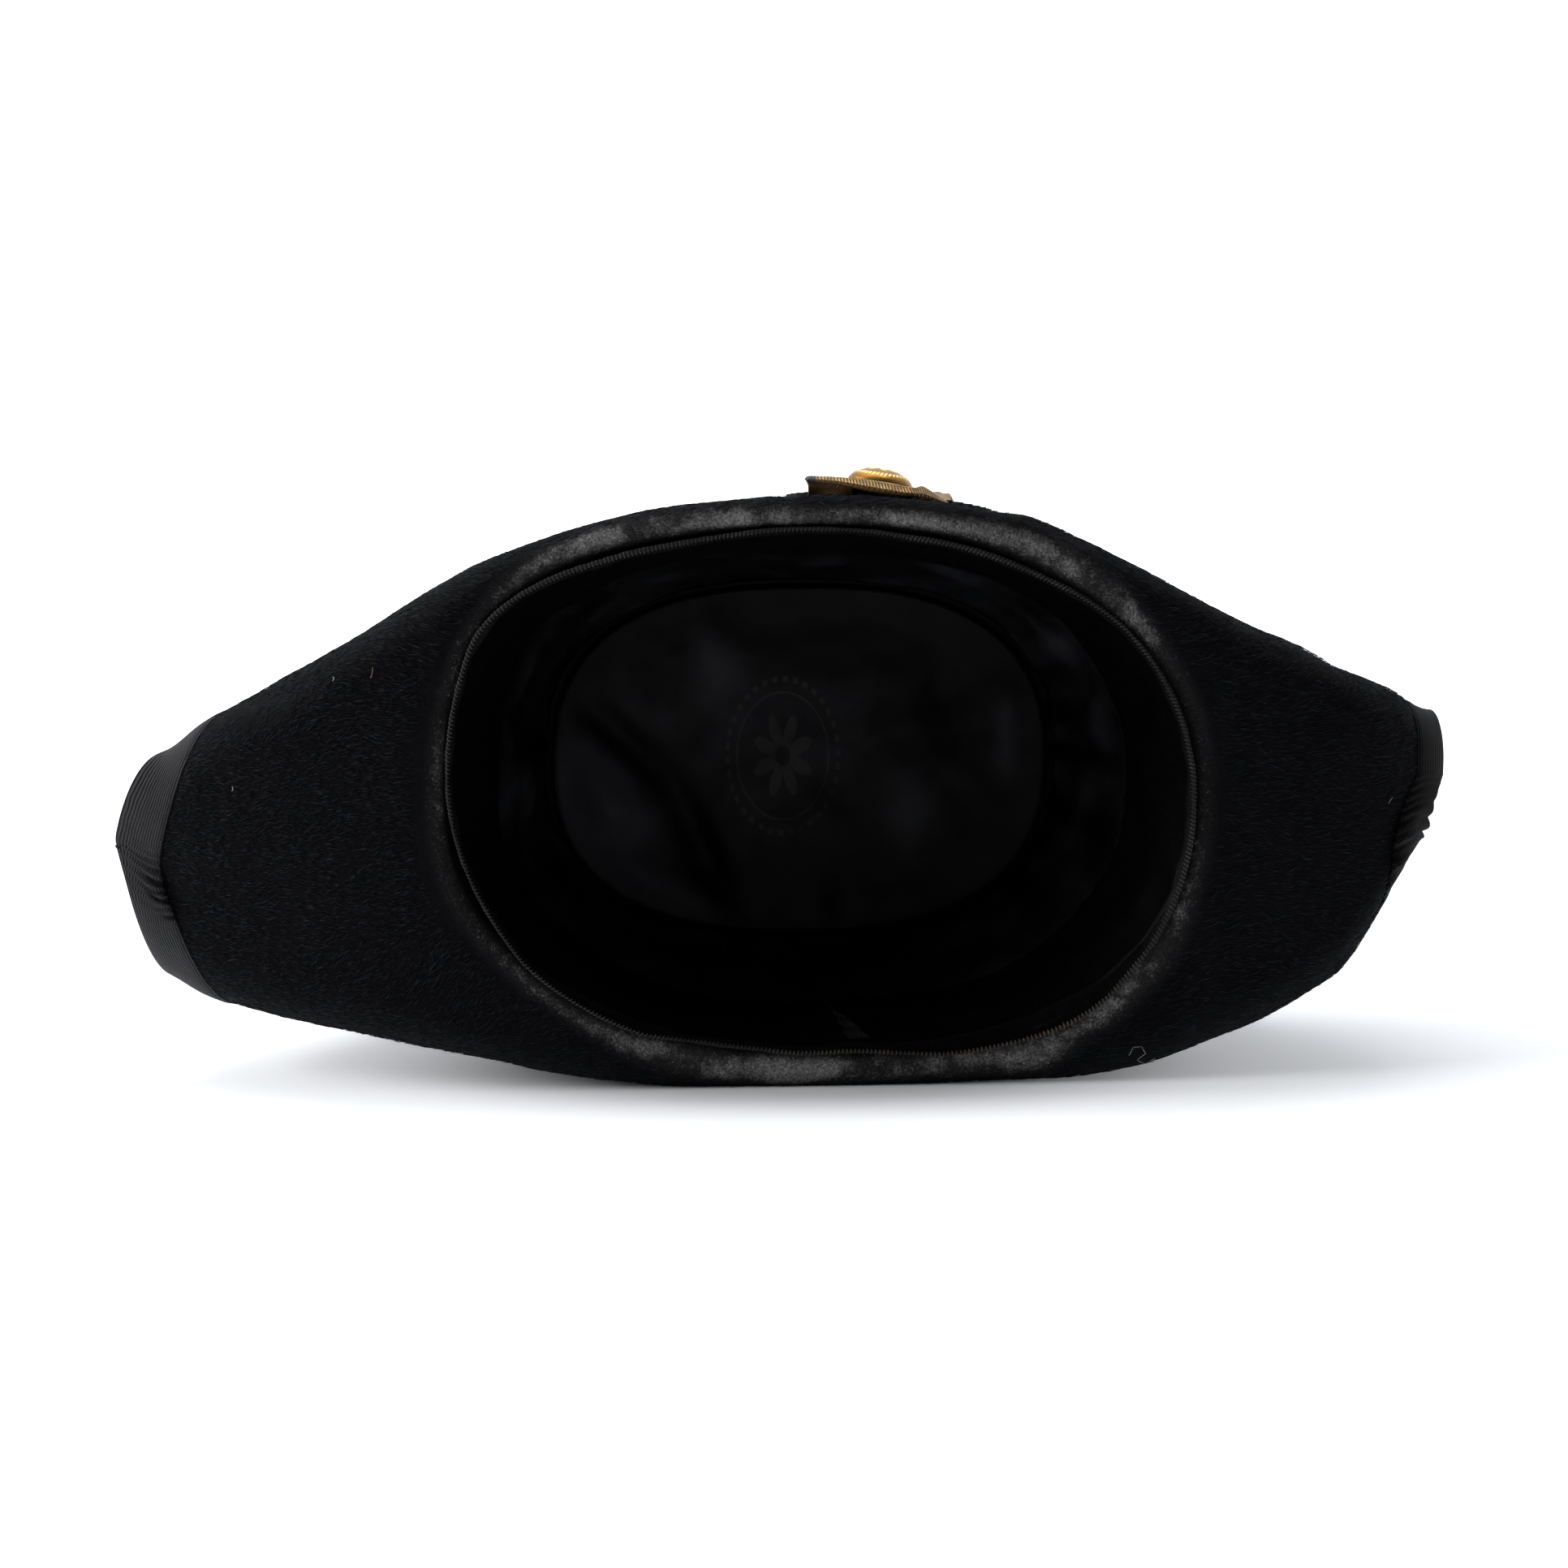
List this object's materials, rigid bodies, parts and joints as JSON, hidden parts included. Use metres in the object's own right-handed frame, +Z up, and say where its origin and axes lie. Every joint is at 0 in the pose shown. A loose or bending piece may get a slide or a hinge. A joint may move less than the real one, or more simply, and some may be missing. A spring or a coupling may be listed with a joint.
{
  "type": "bicorne hat",
  "caption": "Fore-and-aft bicorne hat of black felt lying on its side, with ribbon binding, leather sweatband, satin lining, cockade, gold lace loop and gilt button.",
  "frame": {"origin": "centre of the bounding box's bottom face, on the surface that the hat lies on", "axes": "+X towards the hat's front point, +Y towards the hat's crown, so the head opening faces -Y, +Z up, which is the hat's right side"},
  "size_m": [0.373, 0.1379, 0.1689],
  "materials": {
    "felt_body": "long-napped black fur felt, worn grey-tan along the fold",
    "sweatband": "thin black leather, semi-gloss and scuffed",
    "band_edge_cord": "rolled leather edge whipped with thread",
    "side_lining": "pleated black satin",
    "tip_lining": "crumpled black satin",
    "edge_ribbon": "ribbed silk ribbon, faded",
    "cockade": "pleated black ribbon",
    "gold_loop": "woven gold metal lace, tarnished",
    "button": "gilt, slightly tarnished"
  },
  "bodies": {
    "root": {"felt_body": "felt_body", "sweatband": "sweatband", "band_edge_cord": "band_edge_cord", "side_lining": "side_lining", "tip_lining": "tip_lining", "edge_ribbon": "edge_ribbon", "cockade": "cockade", "gold_loop": "gold_loop", "button": "button"}
  },
  "joints": []
}
